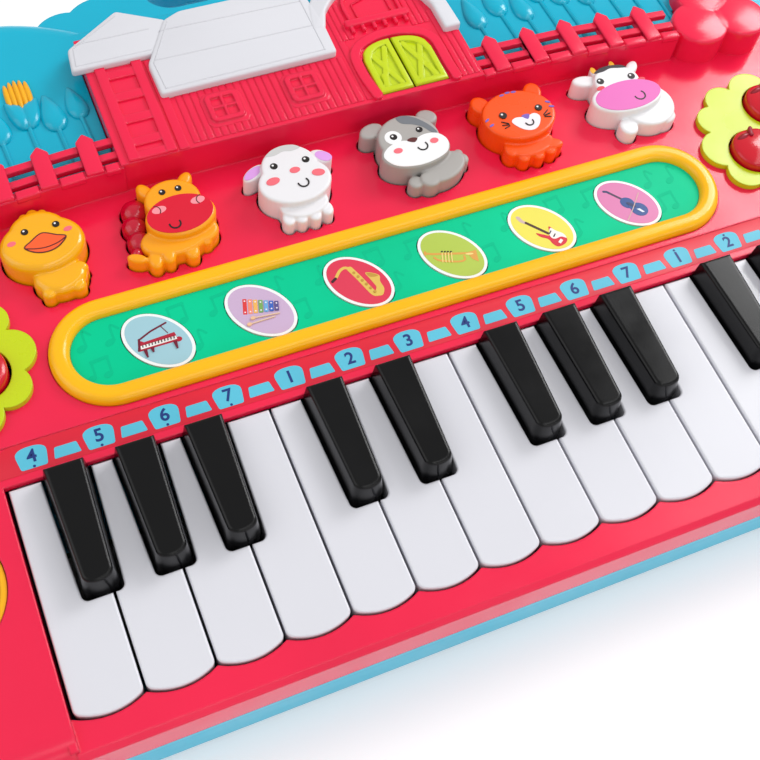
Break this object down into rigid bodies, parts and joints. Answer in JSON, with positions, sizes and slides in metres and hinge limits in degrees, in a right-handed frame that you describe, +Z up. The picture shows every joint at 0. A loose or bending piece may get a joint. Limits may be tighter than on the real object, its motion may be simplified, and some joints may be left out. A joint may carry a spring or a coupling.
{
  "type": "toy electronic keyboard",
  "caption": "Toy electronic keyboard shaped as a farmyard, with sprung white and black piano keys, animal and apple push buttons, an instrument panel, a relief barn and a carrying handle.",
  "frame": {"origin": "on the table, under the middle of the toy's bounding box", "axes": "+X along the keys towards the treble end, +Y away from the player, +Z up out of the table"},
  "size_m": [0.394, 0.284, 0.051],
  "materials": {
    "red_plastic": "glossy injection moulded",
    "blue_plastic": "satin injection moulded",
    "white_plastic": "satin",
    "lime_plastic": "glossy",
    "yellow_plastic": "glossy",
    "amber_plastic": "glossy",
    "teal_film": "satin printed film",
    "pad_film": "satin printed film",
    "key_white": "glossy",
    "key_black": "high gloss",
    "duck_yellow": "glossy",
    "pony_orange": "glossy",
    "sheep_white": "glossy",
    "dog_grey": "glossy",
    "tiger_orange": "glossy",
    "apple_red": "high gloss",
    "speaker_black": "matt",
    "circuit_board": "satin",
    "grey_rubber": "matt",
    "dark_rubber": "matt",
    "steel": "satin",
    "battery_sleeve": "glossy"
  },
  "bodies": {
    "keyboard_case": {"bottom_case": "blue_plastic", "top_housing": "red_plastic", "crop_field_panel": "blue_plastic", "barn_roof": "white_plastic", "barn_doors": "lime_plastic", "instrument_bezel": "yellow_plastic", "instrument_overlay": "teal_film", "bush_plates": "lime_plastic", "speaker_grilles": "amber_plastic", "speaker_drivers": "speaker_black", "key_contact_board": "circuit_board", "key_contact_rubber": "grey_rubber", "main_circuit_board": "circuit_board", "key_pivot_rod": "steel", "battery_door": "blue_plastic", "batteries": "battery_sleeve", "rubber_feet": "dark_rubber", "case_screws": "steel"},
    "white_key_f_low": {"white_key_f_low": "key_white"},
    "white_key_g_low": {"white_key_g_low": "key_white"},
    "white_key_a_low": {"white_key_a_low": "key_white"},
    "white_key_b_low": {"white_key_b_low": "key_white"},
    "white_key_c": {"white_key_c": "key_white"},
    "white_key_d": {"white_key_d": "key_white"},
    "white_key_e": {"white_key_e": "key_white"},
    "white_key_f": {"white_key_f": "key_white"},
    "white_key_g": {"white_key_g": "key_white"},
    "white_key_a": {"white_key_a": "key_white"},
    "white_key_b": {"white_key_b": "key_white"},
    "white_key_c_high": {"white_key_c_high": "key_white"},
    "white_key_d_high": {"white_key_d_high": "key_white"},
    "white_key_e_high": {"white_key_e_high": "key_white"},
    "black_key_f_sharp_low": {"black_key_f_sharp_low": "key_black"},
    "black_key_g_sharp_low": {"black_key_g_sharp_low": "key_black"},
    "black_key_a_sharp_low": {"black_key_a_sharp_low": "key_black"},
    "black_key_c_sharp": {"black_key_c_sharp": "key_black"},
    "black_key_d_sharp": {"black_key_d_sharp": "key_black"},
    "black_key_f_sharp": {"black_key_f_sharp": "key_black"},
    "black_key_g_sharp": {"black_key_g_sharp": "key_black"},
    "black_key_a_sharp": {"black_key_a_sharp": "key_black"},
    "black_key_c_sharp_high": {"black_key_c_sharp_high": "key_black"},
    "black_key_d_sharp_high": {"black_key_d_sharp_high": "key_black"},
    "animal_button_duck": {"animal_button_duck": "duck_yellow"},
    "animal_button_pony": {"animal_button_pony": "pony_orange"},
    "animal_button_sheep": {"animal_button_sheep": "sheep_white"},
    "animal_button_dog": {"animal_button_dog": "dog_grey"},
    "animal_button_tiger": {"animal_button_tiger": "tiger_orange"},
    "animal_button_cow": {"animal_button_cow": "sheep_white"},
    "apple_button_left_upper": {"apple_button_left_upper": "apple_red"},
    "apple_button_left_inner": {"apple_button_left_inner": "apple_red"},
    "apple_button_left_outer": {"apple_button_left_outer": "apple_red"},
    "apple_button_right_upper": {"apple_button_right_upper": "apple_red"},
    "apple_button_right_inner": {"apple_button_right_inner": "apple_red"},
    "apple_button_right_outer": {"apple_button_right_outer": "apple_red"},
    "instrument_pad_piano": {"instrument_pad_piano": "pad_film"},
    "instrument_pad_xylophone": {"instrument_pad_xylophone": "pad_film"},
    "instrument_pad_saxophone": {"instrument_pad_saxophone": "pad_film"},
    "instrument_pad_trumpet": {"instrument_pad_trumpet": "pad_film"},
    "instrument_pad_guitar": {"instrument_pad_guitar": "pad_film"},
    "instrument_pad_violin": {"instrument_pad_violin": "pad_film"}
  },
  "joints": [
    {"name": "white_key_f_low_hinge", "type": "hinge", "parent": "keyboard_case", "child": "white_key_f_low", "pos_m": [-0.13, -0.046, 0.027], "axis": [1, 0, 0], "range_deg": [0, 3.2], "stiffness_Nm_per_rad": 0.12, "springref_deg": -6.88},
    {"name": "white_key_g_low_hinge", "type": "hinge", "parent": "keyboard_case", "child": "white_key_g_low", "pos_m": [-0.11, -0.046, 0.027], "axis": [1, 0, 0], "range_deg": [0, 3.2], "stiffness_Nm_per_rad": 0.12, "springref_deg": -6.88},
    {"name": "white_key_a_low_hinge", "type": "hinge", "parent": "keyboard_case", "child": "white_key_a_low", "pos_m": [-0.09, -0.046, 0.027], "axis": [1, 0, 0], "range_deg": [0, 3.2], "stiffness_Nm_per_rad": 0.12, "springref_deg": -6.88},
    {"name": "white_key_b_low_hinge", "type": "hinge", "parent": "keyboard_case", "child": "white_key_b_low", "pos_m": [-0.07, -0.046, 0.027], "axis": [1, 0, 0], "range_deg": [0, 3.2], "stiffness_Nm_per_rad": 0.12, "springref_deg": -6.88},
    {"name": "white_key_c_hinge", "type": "hinge", "parent": "keyboard_case", "child": "white_key_c", "pos_m": [-0.05, -0.046, 0.027], "axis": [1, 0, 0], "range_deg": [0, 3.2], "stiffness_Nm_per_rad": 0.12, "springref_deg": -6.88},
    {"name": "white_key_d_hinge", "type": "hinge", "parent": "keyboard_case", "child": "white_key_d", "pos_m": [-0.03, -0.046, 0.027], "axis": [1, 0, 0], "range_deg": [0, 3.2], "stiffness_Nm_per_rad": 0.12, "springref_deg": -6.88},
    {"name": "white_key_e_hinge", "type": "hinge", "parent": "keyboard_case", "child": "white_key_e", "pos_m": [-0.01, -0.046, 0.027], "axis": [1, 0, 0], "range_deg": [0, 3.2], "stiffness_Nm_per_rad": 0.12, "springref_deg": -6.88},
    {"name": "white_key_f_hinge", "type": "hinge", "parent": "keyboard_case", "child": "white_key_f", "pos_m": [0.01, -0.046, 0.027], "axis": [1, 0, 0], "range_deg": [0, 3.2], "stiffness_Nm_per_rad": 0.12, "springref_deg": -6.88},
    {"name": "white_key_g_hinge", "type": "hinge", "parent": "keyboard_case", "child": "white_key_g", "pos_m": [0.03, -0.046, 0.027], "axis": [1, 0, 0], "range_deg": [0, 3.2], "stiffness_Nm_per_rad": 0.12, "springref_deg": -6.88},
    {"name": "white_key_a_hinge", "type": "hinge", "parent": "keyboard_case", "child": "white_key_a", "pos_m": [0.05, -0.046, 0.027], "axis": [1, 0, 0], "range_deg": [0, 3.2], "stiffness_Nm_per_rad": 0.12, "springref_deg": -6.88},
    {"name": "white_key_b_hinge", "type": "hinge", "parent": "keyboard_case", "child": "white_key_b", "pos_m": [0.07, -0.046, 0.027], "axis": [1, 0, 0], "range_deg": [0, 3.2], "stiffness_Nm_per_rad": 0.12, "springref_deg": -6.88},
    {"name": "white_key_c_high_hinge", "type": "hinge", "parent": "keyboard_case", "child": "white_key_c_high", "pos_m": [0.09, -0.046, 0.027], "axis": [1, 0, 0], "range_deg": [0, 3.2], "stiffness_Nm_per_rad": 0.12, "springref_deg": -6.88},
    {"name": "white_key_d_high_hinge", "type": "hinge", "parent": "keyboard_case", "child": "white_key_d_high", "pos_m": [0.11, -0.046, 0.027], "axis": [1, 0, 0], "range_deg": [0, 3.2], "stiffness_Nm_per_rad": 0.12, "springref_deg": -6.88},
    {"name": "white_key_e_high_hinge", "type": "hinge", "parent": "keyboard_case", "child": "white_key_e_high", "pos_m": [0.13, -0.046, 0.027], "axis": [1, 0, 0], "range_deg": [0, 3.2], "stiffness_Nm_per_rad": 0.12, "springref_deg": -6.88},
    {"name": "black_key_f_sharp_low_hinge", "type": "hinge", "parent": "keyboard_case", "child": "black_key_f_sharp_low", "pos_m": [-0.1228, -0.046, 0.027], "axis": [1, 0, 0], "range_deg": [0, 3.2], "stiffness_Nm_per_rad": 0.12, "springref_deg": -6.88},
    {"name": "black_key_g_sharp_low_hinge", "type": "hinge", "parent": "keyboard_case", "child": "black_key_g_sharp_low", "pos_m": [-0.1018, -0.046, 0.027], "axis": [1, 0, 0], "range_deg": [0, 3.2], "stiffness_Nm_per_rad": 0.12, "springref_deg": -6.88},
    {"name": "black_key_a_sharp_low_hinge", "type": "hinge", "parent": "keyboard_case", "child": "black_key_a_sharp_low", "pos_m": [-0.081, -0.046, 0.027], "axis": [1, 0, 0], "range_deg": [0, 3.2], "stiffness_Nm_per_rad": 0.12, "springref_deg": -6.88},
    {"name": "black_key_c_sharp_hinge", "type": "hinge", "parent": "keyboard_case", "child": "black_key_c_sharp", "pos_m": [-0.0426, -0.046, 0.027], "axis": [1, 0, 0], "range_deg": [0, 3.2], "stiffness_Nm_per_rad": 0.12, "springref_deg": -6.88},
    {"name": "black_key_d_sharp_hinge", "type": "hinge", "parent": "keyboard_case", "child": "black_key_d_sharp", "pos_m": [-0.02, -0.046, 0.027], "axis": [1, 0, 0], "range_deg": [0, 3.2], "stiffness_Nm_per_rad": 0.12, "springref_deg": -6.88},
    {"name": "black_key_f_sharp_hinge", "type": "hinge", "parent": "keyboard_case", "child": "black_key_f_sharp", "pos_m": [0.0172, -0.046, 0.027], "axis": [1, 0, 0], "range_deg": [0, 3.2], "stiffness_Nm_per_rad": 0.12, "springref_deg": -6.88},
    {"name": "black_key_g_sharp_hinge", "type": "hinge", "parent": "keyboard_case", "child": "black_key_g_sharp", "pos_m": [0.0382, -0.046, 0.027], "axis": [1, 0, 0], "range_deg": [0, 3.2], "stiffness_Nm_per_rad": 0.12, "springref_deg": -6.88},
    {"name": "black_key_a_sharp_hinge", "type": "hinge", "parent": "keyboard_case", "child": "black_key_a_sharp", "pos_m": [0.059, -0.046, 0.027], "axis": [1, 0, 0], "range_deg": [0, 3.2], "stiffness_Nm_per_rad": 0.12, "springref_deg": -6.88},
    {"name": "black_key_c_sharp_high_hinge", "type": "hinge", "parent": "keyboard_case", "child": "black_key_c_sharp_high", "pos_m": [0.0974, -0.046, 0.027], "axis": [1, 0, 0], "range_deg": [0, 3.2], "stiffness_Nm_per_rad": 0.12, "springref_deg": -6.88},
    {"name": "black_key_d_sharp_high_hinge", "type": "hinge", "parent": "keyboard_case", "child": "black_key_d_sharp_high", "pos_m": [0.12, -0.046, 0.027], "axis": [1, 0, 0], "range_deg": [0, 3.2], "stiffness_Nm_per_rad": 0.12, "springref_deg": -6.88},
    {"name": "animal_button_duck_press", "type": "slide", "parent": "keyboard_case", "child": "animal_button_duck", "axis": [0, 0, -1], "range_m": [0, 0.003], "stiffness_N_per_m": 300, "springref_m": -0.002},
    {"name": "animal_button_pony_press", "type": "slide", "parent": "keyboard_case", "child": "animal_button_pony", "axis": [0, 0, -1], "range_m": [0, 0.003], "stiffness_N_per_m": 300, "springref_m": -0.002},
    {"name": "animal_button_sheep_press", "type": "slide", "parent": "keyboard_case", "child": "animal_button_sheep", "axis": [0, 0, -1], "range_m": [0, 0.003], "stiffness_N_per_m": 300, "springref_m": -0.002},
    {"name": "animal_button_dog_press", "type": "slide", "parent": "keyboard_case", "child": "animal_button_dog", "axis": [0, 0, -1], "range_m": [0, 0.003], "stiffness_N_per_m": 300, "springref_m": -0.002},
    {"name": "animal_button_tiger_press", "type": "slide", "parent": "keyboard_case", "child": "animal_button_tiger", "axis": [0, 0, -1], "range_m": [0, 0.003], "stiffness_N_per_m": 300, "springref_m": -0.002},
    {"name": "animal_button_cow_press", "type": "slide", "parent": "keyboard_case", "child": "animal_button_cow", "axis": [0, 0, -1], "range_m": [0, 0.003], "stiffness_N_per_m": 300, "springref_m": -0.002},
    {"name": "apple_button_left_upper_press", "type": "slide", "parent": "keyboard_case", "child": "apple_button_left_upper", "axis": [0, 0, -1], "range_m": [0, 0.003], "stiffness_N_per_m": 300, "springref_m": -0.002},
    {"name": "apple_button_left_inner_press", "type": "slide", "parent": "keyboard_case", "child": "apple_button_left_inner", "axis": [0, 0, -1], "range_m": [0, 0.003], "stiffness_N_per_m": 300, "springref_m": -0.002},
    {"name": "apple_button_left_outer_press", "type": "slide", "parent": "keyboard_case", "child": "apple_button_left_outer", "axis": [0, 0, -1], "range_m": [0, 0.003], "stiffness_N_per_m": 300, "springref_m": -0.002},
    {"name": "apple_button_right_upper_press", "type": "slide", "parent": "keyboard_case", "child": "apple_button_right_upper", "axis": [0, 0, -1], "range_m": [0, 0.003], "stiffness_N_per_m": 300, "springref_m": -0.002},
    {"name": "apple_button_right_inner_press", "type": "slide", "parent": "keyboard_case", "child": "apple_button_right_inner", "axis": [0, 0, -1], "range_m": [0, 0.003], "stiffness_N_per_m": 300, "springref_m": -0.002},
    {"name": "apple_button_right_outer_press", "type": "slide", "parent": "keyboard_case", "child": "apple_button_right_outer", "axis": [0, 0, -1], "range_m": [0, 0.003], "stiffness_N_per_m": 300, "springref_m": -0.002},
    {"name": "instrument_pad_piano_press", "type": "slide", "parent": "keyboard_case", "child": "instrument_pad_piano", "axis": [0, 0, -1], "range_m": [0, 0.0006], "stiffness_N_per_m": 300, "springref_m": -0.001},
    {"name": "instrument_pad_xylophone_press", "type": "slide", "parent": "keyboard_case", "child": "instrument_pad_xylophone", "axis": [0, 0, -1], "range_m": [0, 0.0006], "stiffness_N_per_m": 300, "springref_m": -0.001},
    {"name": "instrument_pad_saxophone_press", "type": "slide", "parent": "keyboard_case", "child": "instrument_pad_saxophone", "axis": [0, 0, -1], "range_m": [0, 0.0006], "stiffness_N_per_m": 300, "springref_m": -0.001},
    {"name": "instrument_pad_trumpet_press", "type": "slide", "parent": "keyboard_case", "child": "instrument_pad_trumpet", "axis": [0, 0, -1], "range_m": [0, 0.0006], "stiffness_N_per_m": 300, "springref_m": -0.001},
    {"name": "instrument_pad_guitar_press", "type": "slide", "parent": "keyboard_case", "child": "instrument_pad_guitar", "axis": [0, 0, -1], "range_m": [0, 0.0006], "stiffness_N_per_m": 300, "springref_m": -0.001},
    {"name": "instrument_pad_violin_press", "type": "slide", "parent": "keyboard_case", "child": "instrument_pad_violin", "axis": [0, 0, -1], "range_m": [0, 0.0006], "stiffness_N_per_m": 300, "springref_m": -0.001}
  ]
}
